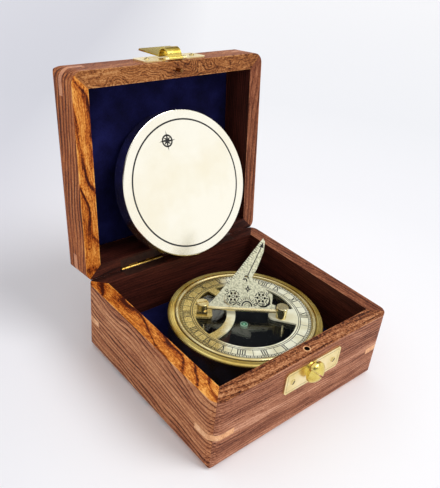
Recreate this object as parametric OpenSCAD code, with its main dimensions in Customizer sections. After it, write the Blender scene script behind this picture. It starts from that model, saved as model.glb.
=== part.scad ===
// Boxed sundial compass: a hinged wooden box, a brass floating-card compass with a folding gnomon,
// and the loose brass cover that leans in the open lid. Millimetres, +Z up, the front faces -Y.
// The origin is the centre of the box's underside.

/* [Box] */
// Thickness of the wooden walls
wall_t = 10; // [9:0.5:12]
// Space between the compass and the box wall on its left
room_left = 15.4; // [8:0.2:24]
// Space between the compass and the box wall on its right
room_right = 6.6; // [2:0.2:16]
// Gap between the compass and the front wall
room_front = 0.4; // [0.3:0.1:6]
// Space between the compass and the back wall
room_back = 9.6; // [4:0.2:20]
// Height from the compass's lip to the rim of the base
room_above = 12.1; // [9.5:0.1:20]
// Radius of the box's upright outer corners
corner_r = 7; // [4:0.5:8]
// Radius along the bottom edge of the base
bottom_r = 6; // [2:0.5:7]
// Radius along the top edge of the lid
top_r = 7.5; // [2:0.5:7.5]
// Gap between the two rims when the lid is shut
rim_gap = 0.5; // [0.3:0.1:1]
// Thickness of the floor panel
floor_t = 4; // [3:0.5:6]
// Thickness of the padded block under the lining
pad_t = 13; // [8:0.5:18]
// Thickness of the lid's top panel
panel_t = 3; // [2:0.5:5]
// Width of the rebates that hold the panels
rebate_w = 2; // [1:0.25:2]
// Thickness of the velvet linings
velvet_t = 0.8; // [0.4:0.1:1.5]
// Inner depth of the lid below its lining
lid_room = 23.7; // [18:0.1:32]
// Gap round the pad and the linings
lining_gap = 0.2; // [0.1:0.1:0.5]

/* [Corner splines] */
// Thickness of a corner spline
spline_t = 4; // [2:0.5:6]
// Length of a spline along each face, from the square corner
spline_leg = 15; // [13:0.5:18]
// Height of the base splines' middle above the underside
spline_z = 24.7; // [18:0.5:34]

/* [Hinges] */
// Angle that the lid is open by
open_angle = 96; // [92:1:104]
// Distance from the hinge pin to the back faces
pin_inset = 1.5; // [1.3:0.1:2]
// Outer radius of a hinge knuckle
knuckle_r = 1.6; // [1.4:0.1:2]
// Radius of the hinge pin
pin_r = 0.7; // [0.5:0.05:0.8]
// Length of one hinge
hinge_len = 32; // [24:1:40]
// Distance from the middle to each hinge's middle
hinge_x = 30.4; // [24:0.2:36]
// Depth of a hinge leaf on the rim
leaf_d = 7; // [5.5:0.25:8]
// Thickness of a hinge leaf
leaf_t = 0.9; // [0.6:0.1:1.2]
// Running clearance of the pins
run_gap = 0.06; // [0.03:0.01:0.1]
// Side gap between knuckles
knuckle_gap = 0.15; // [0.1:0.05:0.3]
// Gap round the knuckles in the wood
mortise_gap = 0.25; // [0.2:0.05:0.5]
// Gap left between the two stop bevels
bevel_gap = 0.12; // [0.08:0.02:0.3]

/* [Locating pin] */
// Radius of the pin in the lid's front rim
dowel_r = 1.2; // [1:0.1:2]
// Length of the pin that stands out of the lid
dowel_out = 5.5; // [3:0.5:7]
// Length of the pin inside the lid
dowel_in = 7; // [5:0.5:10]
// Gap round the pin in its hole
dowel_gap = 0.5; // [0.4:0.05:1]
// Wall of the bush round the hole
bush_t = 0.7; // [0.5:0.1:1.5]

/* [Clasp] */
// Width of the clasp plates
plate_w = 46; // [40:1:54]
// Height of the clasp plates
plate_h = 15.4; // [13:0.2:17]
// Thickness of the clasp plates
plate_t = 0.9; // [0.7:0.1:1.2]
// Distance from the rim down to the catch plate's middle
catch_drop = 13; // [12.5:0.5:16]
// Sideways place of the clasp plates
plate_x = 2.2; // [-4:0.2:4]
// Radius of the stud's head
stud_r = 6.8; // [5:0.2:7]
// Height of the stud over its plate
stud_h = 7.6; // [5:0.2:9]
// Rise of the stud's middle over the plate's middle
stud_up = 2.2; // [0:0.2:2.5]
// Sideways place of the stud and the lever
stud_x = 0; // [-3:0.2:3]
// Width of the clasp lever and its arch
lever_w = 10; // [8:0.5:12]
// Outer radius of the lever's arch
arch_r = 5.4; // [4.5:0.1:5.6]
// Thickness of the lever
lever_t = 0.9; // [0.7:0.1:1.1]
// Length of the finger tab
tab_len = 12.6; // [9:0.2:15]
// Width of the finger tab at its end
tab_w = 25; // [16:0.5:30]
// Slope of the finger tab
tab_rise = 15; // [8:1:20]
// Radius of the lever's knuckle
lever_knuckle_r = 1.15; // [1.1:0.05:1.3]

/* [Compass] */
// Outer radius of the compass case
case_r = 50; // [46:0.5:56]
// Height of the case up to its lip
case_h = 20.6; // [18:0.2:26]
// Width of the rounded lip
lip_w = 3.8; // [3.4:0.1:4.2]
// Height of the lip's flange
lip_h = 3.4; // [2.4:0.1:3.4]
// Step from the flange in to the case's side
side_step = 1.2; // [0.6:0.1:2]
// Thickness of the case's bottom
case_floor = 2.2; // [1.5:0.1:3]
// Thickness of the wall round the card
chamber_wall = 8; // [6:0.2:9]
// Width of the groove outside the bezel ring
groove_w = 0.8; // [0.6:0.1:1.2]
// Width of the bezel ring
bezel_w = 2.4; // [2:0.1:3]
// Height of the bezel ring over the lip
bezel_over = 0.5; // [0:0.1:1]
// Depth of the dial's face below the lip
dial_drop = 0.4; // [0.2:0.1:1]
// Thickness of the dial plate
dial_t = 1.2; // [0.8:0.1:1.6]
// Gap between the dial plate and the bezel ring
dial_gap = 0.5; // [0.3:0.1:1]
// Inner radius of the dial ring
dial_in_r = 33; // [30:0.5:35]
// Thickness of the glass
glass_t = 2; // [1.5:0.25:3]
// Thickness of the gasket over the glass
gasket_t = 0.4; // [0.3:0.1:0.8]

/* [Compass card] */
// Gap between the compass card and the wall round it
card_gap = 2.3; // [1.8:0.1:6]
// Thickness of the card
card_t = 0.6; // [0.4:0.1:1]
// Height of the card over the case's floor inside
card_up = 6; // [5:0.25:7]
// Radius of the jewelled cap
cap_r = 2.6; // [2:0.1:3.5]
// Height of the jewelled cap over the card
cap_h = 1.8; // [1.2:0.1:2]
// Length of a card magnet
magnet_len = 30; // [20:1:40]

/* [Gnomon] */
// Direction of the gnomon's rod, clockwise from straight right
rod_turn = 38; // [0:1:60]
// Lean of the gnomon back from upright
lean = 42; // [30:1:46]
// Height of the rod's axis over the dial
rod_up = 4.2; // [3.8:0.1:5]
// Radius of the rod
rod_r = 1.3; // [1.1:0.1:1.6]
// Distance of the rod in front of the compass's middle
rod_back = -1.5; // [-3:0.1:1]
// Thickness of the gnomon plate
gnomon_t = 1.6; // [1.2:0.1:2]
// Height of the gnomon plate from its rod to its tip
gnomon_h = 47; // [40:0.5:47.5]
// Distance from the middle to the left post
post_left = 28.3; // [27:0.1:29]
// Distance from the middle to the right post
post_right = 22.7; // [22:0.1:24]
// Radius of a post
post_r = 3.4; // [3:0.1:3.6]
// Height of a post over the dial
post_h = 8.2; // [7.4:0.1:9]
// Radius of a post's head
post_head_r = 3.9; // [3.6:0.1:4.2]
// Thickness of a post's head
post_head_t = 1.2; // [0.8:0.1:1.6]

/* [Cover] */
// Outer radius of the cover
cover_r = 49; // [48.4:0.1:49.4]
// Depth of the cover
cover_d = 10.8; // [8:0.2:13]
// Thickness of the cover's metal
cover_t = 1.2; // [0.8:0.1:1.4]
// Radius of the turned ring line on the cover's face
ring_line_r = 42.3; // [30:0.1:46]
// Distance from the back edge of the box to the cover's foot
foot_inset = 7.5; // [5:0.1:9]
// Sideways place of the leaning cover
cover_x = 7; // [-8:0.5:10]
// Gap between the cover and what it leans on
cover_gap = 0.25; // [0.1:0.05:0.4]

/* [Hidden] */
$fn = 96;
// Margin of a cut past the face that it opens
over = 1;
// Smallest seat gap between pieces of one body
seat = 0.05;
// Sizes of the box
in_w = room_left + 2 * case_r + room_right;
in_d = room_front + 2 * case_r + room_back;
box_w = in_w + 2 * wall_t;
box_d = in_d + 2 * wall_t;
base_h = floor_t + pad_t + velvet_t + case_h + room_above;
lid_h = lid_room + velvet_t + panel_t;
lid_z = base_h + rim_gap;
pin_y = box_d / 2 - pin_inset;
pin_z = base_h + rim_gap / 2;
bevel_angle = open_angle / 2;
rim_mid = wall_t / 2;
// Locating pin's bush
bush_depth = 2.5;
// Clasp
catch_z = base_h - catch_drop;
clasp_z = lid_z + 1.9;
lug_over = 2.6;
lever_out = plate_t + 0.6;
lever_pin_r = 0.6;
lever_gap = 0.2;
plate_start = lever_knuckle_r + 0.15;
arch_off = arch_r + 0.1;
arch_up = 0.7;
plate_clip = 1.6;
screw_r = 1.9;
screw_head_t = 0.7;
shank_r = 0.8;
shank_len = 6;
screw_in = 6;
screw_slot = 0.5;
stud_tenon_r = 2;
stud_tenon_len = 5;
stud_z = catch_z + stud_up;
lid_plate_z = clasp_z + plate_start + plate_h / 2;
// Compass levels
comp_x = -in_w / 2 + room_left + case_r;
comp_y = -in_d / 2 + room_front + case_r;
case_z = floor_t + pad_t + velvet_t;
lip_z = case_z + case_h;
dial_z = lip_z - dial_drop;
glass_z = dial_z - dial_t - gasket_t - glass_t;
side_r = case_r - side_step;
channel_out = case_r - lip_w;
bezel_out = channel_out - groove_w;
bezel_in = bezel_out - bezel_w;
dial_r = bezel_in - dial_gap;
channel_z = dial_z - dial_t - seat;
chamber_r = case_r - side_step - chamber_wall;
glass_r = chamber_r + 1.2;
card_r = chamber_r - card_gap;
floor_z = case_z + case_floor;
card_z = floor_z + card_up;
rod_z = dial_z + rod_up;
journal_r = 1;
post_foot_r = 1.5;
// Height at which the gnomon's outline and piercing are drawn
gnomon_drawn_h = 47;
magnet_w = 3;
magnet_h = 1.6;
magnet_off = 8;
pivot_r = 0.8;
pivot_foot_r = 4;
pivot_foot_h = 1;
cone_h = 1.6;
cap_play = 0.15;
// Leaf screws, from a hinge's middle
leaf_screws = [-12, 0, 12];
leaf_screw_r = 1.3;
// Lean of the cover: its back rim edge stands on the base's rim and its top meets the lining
foot_y = box_d / 2 - foot_inset;
foot_z = base_h + 0.1;
tilt = open_angle - 90;
cover_lean = tilt + asin((rim_gap / 2 + lid_room - cover_gap + (pin_y - foot_y) * cos(tilt)) / (2 * cover_r));

// Turn a piece of the shut lid about the hinge pin to where the lid stands open
module as_open() {
    translate([0, pin_y, pin_z]) rotate([-open_angle, 0, 0]) translate([0, -pin_y, -pin_z]) children();
}

// Put a piece in the compass's own directions: x along the rod, y to the back, z from the underside
module on_compass() {
    translate([comp_x, comp_y, 0]) rotate([0, 0, -rod_turn]) children();
}

// What a rounding plane takes off an edge along x: the edge lies at the origin and the wood at +y, +z
module edge_round(r, len) {
    translate([-len / 2 - over, 0, 0]) rotate([90, 0, 90]) linear_extrude(len + 2 * over) difference() {
        translate([-over, -over]) square([r + over, r + over]);
        translate([r, r]) circle(r);
    }
}

// What is taken off an upright corner: the corner lies at the origin and the wood at +x, +y
module corner_round(r, h) {
    translate([0, 0, -over]) linear_extrude(h + 2 * over) difference() {
        translate([-over, -over]) square([r + over, r + over]);
        translate([r, r]) circle(r);
    }
}

// A corner spline before rounding: the square corner lies at the origin
module spline_blank(z) {
    translate([0, 0, z - spline_t / 2]) linear_extrude(spline_t)
        polygon([[0, 0], [spline_leg, 0], [0, spline_leg]]);
}

// Do the same at the four corners of the box
module at_corners() {
    for (sx = [0, 1], sy = [0, 1])
        mirror([sx, 0, 0]) mirror([0, sy, 0]) translate([-box_w / 2, -box_d / 2, 0]) children();
}

// A mitred board along the front, from z0 to z1
module board(len, side, z0, z1) {
    translate([0, 0, z0]) linear_extrude(z1 - z0) polygon([
        [-len / 2, -side / 2], [len / 2, -side / 2],
        [len / 2 - wall_t, -side / 2 + wall_t], [-len / 2 + wall_t, -side / 2 + wall_t]]);
}

// One base board, its panel rebate and spline slots cut
module base_board(len, side) {
    difference() {
        board(len, side, 0, base_h);
        translate([0, -side / 2, 0]) edge_round(bottom_r, len);
        translate([-len / 2, -side / 2 + wall_t - rebate_w, -over])
            cube([len, wall_t, floor_t + over]);
        for (s = [0, 1]) mirror([s, 0, 0]) translate([-len / 2, -side / 2, 0]) {
            corner_round(corner_r, base_h);
            spline_blank(spline_z);
            rotate([0, 0, 90]) mirror([0, 1, 0]) edge_round(bottom_r, 2 * wall_t);
        }
    }
}

// One lid board, shut, its panel rebate and spline slots cut
module lid_board(len, side) {
    difference() {
        board(len, side, lid_z, lid_z + lid_h);
        translate([0, -side / 2, lid_z + lid_h]) mirror([0, 0, 1]) edge_round(top_r, len);
        translate([-len / 2, -side / 2 + wall_t - rebate_w, lid_z + lid_h - panel_t])
            cube([len, wall_t, panel_t + over]);
        for (s = [0, 1]) mirror([s, 0, 0]) translate([-len / 2, -side / 2, 0]) {
            translate([0, 0, lid_z]) corner_round(corner_r, lid_h);
            spline_blank(lid_z + lid_h / 2);
            translate([0, 0, lid_z + lid_h]) mirror([0, 0, 1])
                rotate([0, 0, 90]) mirror([0, 1, 0]) edge_round(top_r, 2 * wall_t);
        }
    }
}

// Cylinder along x
module bar_x(r, len) {
    translate([-len / 2, 0, 0]) rotate([0, 90, 0]) cylinder(r = r, h = len);
}

// Hole for the leaf screws of one rim, pointing down from the leaf's outer face
module leaf_screw_holes() {
    for (s = [-1, 1], x = leaf_screws)
        translate([s * hinge_x + x, pin_y - leaf_d / 2 - knuckle_r / 2, 0]) {
            translate([0, 0, -leaf_t - shank_len - seat]) cylinder(r = shank_r + seat, h = shank_len + over);
            translate([0, 0, -leaf_t]) cylinder(r = leaf_screw_r + seat, h = leaf_t + over);
        }
}

module base_front_wall() {
    color("#7a4a3c") difference() {
        base_board(box_w, box_d);
        translate([0, -box_d / 2 + rim_mid, base_h - dowel_out - over])
            cylinder(r = dowel_r + dowel_gap, h = dowel_out + 2 * over);
        translate([0, -box_d / 2 + rim_mid, base_h - bush_depth])
            cylinder(r = dowel_r + dowel_gap + bush_t, h = bush_depth + over);
        catch_screw_holes();
        translate([stud_x, -box_d / 2, stud_z]) rotate([-90, 0, 0])
            translate([0, 0, -over]) cylinder(r = stud_tenon_r + seat, h = stud_tenon_len + over + seat);
    }
}

module base_back_wall() {
    color("#7a4a3c") difference() {
        mirror([0, 1, 0]) base_board(box_w, box_d);
        hinge_wood(-1);
        stop_cut(-1);
        translate([0, 0, base_h]) leaf_screw_holes();
    }
}

// Mortises for both hinges: the half round under the barrels and the seats of the leaves
module hinge_wood(up) {
    translate([0, pin_y, pin_z]) for (s = [-1, 1]) translate([s * hinge_x, 0, 0]) {
        bar_x(knuckle_r + mortise_gap, hinge_len + 2 * mortise_gap);
        translate([-hinge_len / 2, -leaf_d, up > 0 ? -over : -rim_gap / 2 - leaf_t])
            cube([hinge_len, leaf_d, rim_gap / 2 + leaf_t + over]);
    }
}

// The bevel along the back rim that the open lid rests on
module stop_cut(up) {
    reach = 4 * pin_inset;
    slack = bevel_gap / sin(bevel_angle);
    translate([-box_w / 2 - over, pin_y, pin_z]) rotate([90, 0, 90]) linear_extrude(box_w + 2 * over)
        polygon([[-slack, 0], [reach * cos(bevel_angle) - slack, up * reach * sin(bevel_angle)],
            [reach, up * reach * sin(bevel_angle)], [reach, -up * over], [-slack, -up * over]]);
}

module base_left_wall() {
    color("#7a4a3c") rotate([0, 0, -90]) base_board(box_d, box_w);
}

module base_right_wall() {
    color("#7a4a3c") rotate([0, 0, 90]) base_board(box_d, box_w);
}

module base_floor() {
    color("#6b4030") translate([-in_w / 2 - rebate_w, -in_d / 2 - rebate_w, 0])
        cube([in_w + 2 * rebate_w, in_d + 2 * rebate_w, floor_t]);
}

module base_pad() {
    color("#20204a") translate([-in_w / 2 + lining_gap, -in_d / 2 + lining_gap, floor_t])
        cube([in_w - 2 * lining_gap, in_d - 2 * lining_gap, pad_t]);
}

module base_velvet() {
    color("#12124a") translate([-in_w / 2 + lining_gap, -in_d / 2 + lining_gap, floor_t + pad_t])
        cube([in_w - 2 * lining_gap, in_d - 2 * lining_gap, velvet_t]);
}

module base_splines() {
    color("#d8b48a") at_corners() difference() {
        spline_blank(spline_z);
        corner_round(corner_r, base_h);
    }
}

module rim_bush() {
    color("#d8b48a") translate([0, -box_d / 2 + rim_mid, base_h - bush_depth]) difference() {
        cylinder(r = dowel_r + dowel_gap + bush_t, h = bush_depth);
        translate([0, 0, -over]) cylinder(r = dowel_r + dowel_gap, h = bush_depth + 2 * over);
    }
}

// A clasp plate lying in the plane of x and z, its outer face at -y
module clasp_blank() {
    w = plate_w / 2;
    h = plate_h / 2;
    rotate([90, 0, 0]) linear_extrude(plate_t) polygon([
        [-w + plate_clip, -h], [w - plate_clip, -h], [w, -h + plate_clip], [w, h - plate_clip],
        [w - plate_clip, h], [-w + plate_clip, h], [-w, h - plate_clip], [-w, -h + plate_clip]]);
}

// The two screws of a clasp plate, their heads on its outer face
module clasp_screw_pair(extra) {
    for (s = [-1, 1]) translate([s * (plate_w / 2 - screw_in), 0, 0]) rotate([90, 0, 0])
        translate([0, 0, -shank_len - extra]) cylinder(r = shank_r + extra, h = shank_len + plate_t + 2 * extra);
}

module clasp_screw_heads() {
    for (s = [-1, 1]) translate([s * (plate_w / 2 - screw_in), -plate_t, 0]) rotate([90, 0, 0])
        difference() {
            cylinder(r1 = screw_r, r2 = screw_r - screw_head_t, h = screw_head_t);
            rotate([0, 0, 40]) translate([-screw_r, -screw_slot / 2, screw_head_t / 2])
                cube([2 * screw_r, screw_slot, screw_head_t]);
        }
}

module catch_screw_holes() {
    translate([plate_x, -box_d / 2, catch_z]) clasp_screw_pair(seat);
}

module catch_plate() {
    color("#d9c36a") difference() {
        translate([plate_x, -box_d / 2, catch_z]) clasp_blank();
        catch_screw_holes();
        translate([stud_x, -box_d / 2 + over, stud_z]) rotate([90, 0, 0])
            cylinder(r = stud_tenon_r + seat, h = plate_t + 2 * over);
    }
}

module catch_screws() {
    color("#c9b25a") translate([plate_x, -box_d / 2, catch_z]) {
        clasp_screw_pair(0);
        clasp_screw_heads();
    }
}

// The catch stud: a tenon in the wall, a neck and a domed head with a sloping slot
module catch_stud() {
    neck_r = 0.75 * stud_r;
    neck_h = 0.3 * stud_h;
    dome_r = 1.2 * stud_r;
    color("#d9b84a") translate([stud_x, -box_d / 2 - plate_t, stud_z]) rotate([90, 0, 0]) difference() {
        union() {
            translate([0, 0, -plate_t - stud_tenon_len]) cylinder(r = stud_tenon_r, h = plate_t + stud_tenon_len);
            cylinder(r = neck_r, h = neck_h);
            intersection() {
                translate([0, 0, neck_h]) cylinder(r = stud_r, h = stud_h - neck_h);
                translate([0, 0, stud_h - dome_r]) sphere(dome_r);
            }
        }
        rotate([0, 0, -45]) translate([-stud_r, -screw_slot, stud_h - 2 * neck_h])
            cube([2 * stud_r, 2 * screw_slot, stud_h]);
    }
}

// The knuckles of one leaf: 5 to a hinge, the odd ones on the lower leaf
module leaf_knuckles(first, count) {
    pitch = hinge_len / 5;
    for (i = [0 : count - 1])
        translate([-hinge_len / 2 + (first + 2 * i + 0.5) * pitch, 0, 0]) difference() {
            union() {
                bar_x(knuckle_r, pitch - knuckle_gap);
                children();
            }
            bar_x(pin_r + run_gap, pitch + over);
        }
}

// A leaf, its plate stopped short of the knuckles, with a tongue to each of its own
module hinge_leaf(up, first, count) {
    pitch = hinge_len / 5;
    z = up > 0 ? rim_gap / 2 : -rim_gap / 2 - leaf_t;
    clear = knuckle_r + mortise_gap;
    translate([-hinge_len / 2, -leaf_d, z]) cube([hinge_len, leaf_d - clear, leaf_t]);
    leaf_knuckles(first, count)
        translate([-(pitch - knuckle_gap) / 2, -clear - over, z]) cube([pitch - knuckle_gap, clear + over, leaf_t]);
}

module hinge_lower_leaves() {
    color("#b89a4a") difference() {
        translate([0, pin_y, pin_z]) for (s = [-1, 1]) translate([s * hinge_x, 0, 0]) hinge_leaf(-1, 0, 3);
        translate([0, 0, base_h]) leaf_screw_holes();
    }
}

module hinge_upper_leaves() {
    color("#b89a4a") as_open() difference() {
        translate([0, pin_y, pin_z]) for (s = [-1, 1]) translate([s * hinge_x, 0, 0]) hinge_leaf(1, 1, 2);
        translate([0, 0, lid_z]) mirror([0, 0, 1]) leaf_screw_holes();
    }
}

// The leaf screws of one rim, heads flush with the leaves
module leaf_screw_set() {
    for (s = [-1, 1], x = leaf_screws)
        translate([s * hinge_x + x, pin_y - leaf_d / 2 - knuckle_r / 2, 0]) {
            translate([0, 0, -leaf_t - shank_len]) cylinder(r = shank_r, h = shank_len + leaf_t);
            translate([0, 0, -leaf_t]) cylinder(r1 = shank_r, r2 = leaf_screw_r, h = leaf_t);
        }
}

module hinge_lower_screws() {
    color("#c9b25a") translate([0, 0, base_h]) leaf_screw_set();
}

module hinge_upper_screws() {
    color("#c9b25a") as_open() translate([0, 0, lid_z]) mirror([0, 0, 1]) leaf_screw_set();
}

module hinge_pins() {
    color("#b89a4a") translate([0, pin_y, pin_z])
        for (s = [-1, 1]) translate([s * hinge_x, 0, 0]) bar_x(pin_r, hinge_len);
}

module lid_front_wall() {
    color("#7a4a3c") as_open() difference() {
        lid_board(box_w, box_d);
        translate([0, -box_d / 2 + rim_mid, lid_z - over]) cylinder(r = dowel_r + seat, h = dowel_in + over + seat);
        translate([plate_x, -box_d / 2, lid_plate_z]) clasp_screw_pair(seat);
    }
}

module lid_back_wall() {
    color("#7a4a3c") as_open() difference() {
        mirror([0, 1, 0]) lid_board(box_w, box_d);
        hinge_wood(1);
        stop_cut(1);
        translate([0, 0, lid_z]) mirror([0, 0, 1]) leaf_screw_holes();
    }
}

module lid_left_wall() {
    color("#a8602c") as_open() rotate([0, 0, -90]) lid_board(box_d, box_w);
}

module lid_right_wall() {
    color("#7a4a3c") as_open() rotate([0, 0, 90]) lid_board(box_d, box_w);
}

module lid_panel() {
    color("#7a4a3c") as_open() translate([-in_w / 2 - rebate_w, -in_d / 2 - rebate_w, lid_z + lid_h - panel_t])
        cube([in_w + 2 * rebate_w, in_d + 2 * rebate_w, panel_t]);
}

module lid_velvet() {
    color("#12124a") as_open() translate([-in_w / 2 + lining_gap, -in_d / 2 + lining_gap, lid_z + lid_room])
        cube([in_w - 2 * lining_gap, in_d - 2 * lining_gap, velvet_t]);
}

module lid_splines() {
    color("#d8b48a") as_open() at_corners() difference() {
        spline_blank(lid_z + lid_h / 2);
        translate([0, 0, lid_z]) corner_round(corner_r, lid_h);
    }
}

module lid_dowel() {
    tip = dowel_r / 2;
    color("#d9c36a") as_open() translate([0, -box_d / 2 + rim_mid, lid_z]) {
        translate([0, 0, -dowel_out + tip]) cylinder(r = dowel_r, h = dowel_out - tip + dowel_in);
        translate([0, 0, -dowel_out]) cylinder(r1 = dowel_r - tip, r2 = dowel_r, h = tip);
    }
}

// Places of the lever's knuckle and of the lugs that hold its pin
module at_lever() {
    translate([stud_x, -box_d / 2 - lever_out, clasp_z]) children();
}

module clasp_plate() {
    reach = lever_w / 2 + lever_gap;
    color("#d9c36a") as_open() {
        difference() {
            union() {
                translate([plate_x, -box_d / 2, lid_plate_z]) clasp_blank();
                at_lever() for (s = [0, 1]) mirror([s, 0, 0]) translate([reach, 0, 0]) {
                    rotate([0, 90, 0]) cylinder(r = lever_knuckle_r, h = lug_over);
                    translate([0, lever_out - plate_t, 0]) cube([lug_over, plate_t, plate_start + over]);
                }
            }
            at_lever() bar_x(lever_pin_r + seat, 2 * (reach + lug_over + over));
            translate([plate_x, -box_d / 2, lid_plate_z]) clasp_screw_pair(seat);
        }
    }
}

module clasp_screws() {
    color("#c9b25a") as_open() translate([plate_x, -box_d / 2, lid_plate_z]) {
        clasp_screw_pair(0);
        clasp_screw_heads();
    }
}

module clasp_pin() {
    color("#c9b25a") as_open() at_lever() bar_x(lever_pin_r, lever_w + 2 * (lever_gap + lug_over));
}

// The clasp lever: a knuckle, a half-round arch and a flared finger tab
module clasp_lever() {
    foot = 0.5;
    color("#d9c36a") as_open() at_lever() difference() {
        union() {
            bar_x(lever_knuckle_r, lever_w);
            rotate([90, 0, 90]) translate([0, 0, -lever_w / 2]) linear_extrude(lever_w) {
                difference() {
                    translate([-arch_up, arch_off]) circle(arch_r);
                    translate([-arch_up, arch_off]) circle(arch_r - lever_t);
                    translate([-arch_up, arch_off - arch_r - over]) square([arch_r + over, 2 * (arch_r + over)]);
                }
                translate([-arch_up, arch_off + arch_r - lever_t]) square([foot, lever_t]);
            }
            translate([0, -arch_up + foot, arch_off + arch_r - lever_t]) rotate([90 + tab_rise, 0, 0])
                translate([0, 0, -lever_t / 2]) linear_extrude(lever_t) polygon([
                    [-lever_w / 2, 0], [lever_w / 2, 0], [lever_w / 2, lever_t], [tab_w / 2, tab_len - lever_t],
                    [tab_w / 2 - lever_t, tab_len], [-tab_w / 2 + lever_t, tab_len],
                    [-tab_w / 2, tab_len - lever_t], [-lever_w / 2, lever_t]]);
        }
        bar_x(lever_pin_r + run_gap, lever_w + over);
    }
}

// The turned case: floor, wall with its glass ledge, channel for the bezel ring, and the rounded lip
module compass_case() {
    lip_r = lip_h / 2;
    color("#cdb45a") translate([comp_x, comp_y, 0]) difference() {
        union() {
            translate([0, 0, case_z]) cylinder(r = side_r, h = case_h - lip_h / 2);
            translate([0, 0, lip_z - lip_h]) cylinder(r = case_r - lip_r, h = lip_h);
            translate([0, 0, lip_z - lip_r]) rotate_extrude() translate([case_r - lip_r, 0]) circle(lip_r);
        }
        translate([0, 0, channel_z]) cylinder(r = channel_out, h = case_h);
        translate([0, 0, glass_z - seat]) cylinder(r = glass_r + seat, h = case_h);
        translate([0, 0, floor_z]) cylinder(r = chamber_r, h = case_h);
        translate([0, 0, case_z - over]) cylinder(r = pivot_r, h = case_h);
    }
}

module bezel_ring() {
    round_r = bezel_w / 2;
    color("#e0c060") translate([comp_x, comp_y, 0]) rotate_extrude() {
        translate([bezel_in, channel_z]) square([bezel_w, lip_z + bezel_over - round_r - channel_z]);
        intersection() {
            translate([bezel_in + round_r, lip_z + bezel_over - round_r]) circle(round_r);
            translate([bezel_in, channel_z]) square([bezel_w, case_h]);
        }
    }
}

// The dial plate's outline: the ring, a tab at each side and the curved arm
module dial_outline() {
    tab_out = dial_in_r + over;
    right_w = 8.5;
    right_end = 19.3;
    right_end_r = 4.5;
    left_w = 6.2;
    left_end = 21.6;
    left_clip = 2;
    arm_x = -39.8;
    arm_out = 33.2;
    arm_in = 27.7;
    difference() {
        circle(dial_r);
        difference() {
            circle(dial_in_r);
            polygon([[tab_out, -right_w], [tab_out, right_w], [right_end, right_end_r], [right_end, -right_end_r]]);
            translate([right_end, 0]) circle(right_end_r);
            polygon([[-tab_out, -left_w], [-tab_out, left_w], [-left_end - left_clip, left_w],
                [-left_end, left_w - left_clip], [-left_end, -left_w + left_clip],
                [-left_end - left_clip, -left_w]]);
            difference() {
                translate([arm_x, 0]) circle(arm_out);
                translate([arm_x, 0]) circle(arm_in);
            }
        }
    }
}

module dial_plate() {
    color("#e4dca8") on_compass() translate([0, 0, dial_z - dial_t]) difference() {
        linear_extrude(dial_t) dial_outline();
        for (x = [-post_left, post_right]) translate([x, rod_back, -over])
            cylinder(r = post_foot_r + seat, h = dial_t + 2 * over);
    }
}

module glass() {
    color("#c8d8d8", 0.35) translate([comp_x, comp_y, glass_z]) cylinder(r = glass_r, h = glass_t);
}

module glass_gasket() {
    color("#202020") translate([comp_x, comp_y, glass_z + glass_t]) difference() {
        cylinder(r = glass_r, h = gasket_t);
        translate([0, 0, -over]) cylinder(r = chamber_r - over, h = gasket_t + 2 * over);
    }
}

module compass_card() {
    color("#101014") translate([comp_x, comp_y, card_z]) difference() {
        cylinder(r = card_r, h = card_t);
        translate([0, 0, -over]) cylinder(r = cap_r + seat, h = card_t + 2 * over);
    }
}

module card_magnets() {
    color("#303238") on_compass() for (s = [-1, 1])
        translate([-magnet_len / 2, s * magnet_off - magnet_w / 2, card_z - magnet_h])
            cube([magnet_len, magnet_w, magnet_h]);
}

// The cap, its cone running on the pivot's point
module jewel_cap() {
    rim_r = cap_r + 0.8;
    rim_h = 0.6;
    color("#7fae86") translate([comp_x, comp_y, card_z]) difference() {
        union() {
            translate([0, 0, -rim_h]) cylinder(r = rim_r, h = rim_h);
            cylinder(r = cap_r, h = card_t + cap_h);
        }
        translate([0, 0, -rim_h - over]) cylinder(r = pivot_r + 4 * cap_play, h = rim_h + over);
        cylinder(r1 = pivot_r + 4 * cap_play, r2 = cap_play, h = cone_h + cap_play);
    }
}

module pivot() {
    color("#c8c8c8") translate([comp_x, comp_y, 0]) {
        translate([0, 0, floor_z]) cylinder(r = pivot_foot_r, h = pivot_foot_h);
        translate([0, 0, case_z + seat]) cylinder(r = pivot_r - seat, h = card_z - case_z - seat);
        translate([0, 0, card_z]) cylinder(r1 = pivot_r - seat, r2 = 0, h = cone_h - cap_play);
    }
}

// A post: riveted through the dial, bored for the rod, with a chamfered head
module post(foot_w) {
    chamfer = post_head_t / 4;
    bore = journal_r + run_gap;
    difference() {
        union() {
            translate([0, 0, -dial_t]) cylinder(r = post_foot_r, h = dial_t + rod_up / 2);
            cylinder(r = post_r, h = post_h - post_head_t / 2);
            translate([-foot_w / 2, -foot_w / 2, 0]) cube([foot_w, foot_w, rod_up - rod_r]);
            rotate_extrude() polygon([[0, post_h - post_head_t], [post_head_r, post_h - post_head_t],
                [post_head_r, post_h - chamfer], [post_head_r - chamfer, post_h], [0, post_h]]);
        }
        translate([0, 0, rod_up]) rotate([0, 90, 0]) translate([0, 0, -post_r - over])
            cylinder(r = bore, h = 2 * (post_r + over));
    }
}

module left_post() {
    slot_w = 0.8;
    color("#d9cf9a") on_compass() translate([-post_left, rod_back, dial_z]) difference() {
        post(2 * post_r);
        rotate([0, 0, 20]) translate([-post_head_r - over, -slot_w / 2, post_h - post_head_t / 2])
            cube([2 * (post_head_r + over), slot_w, post_head_t]);
    }
}

module right_post() {
    color("#d9cf9a") on_compass() translate([post_right, rod_back, dial_z]) post(1.5 * post_r);
}

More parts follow.
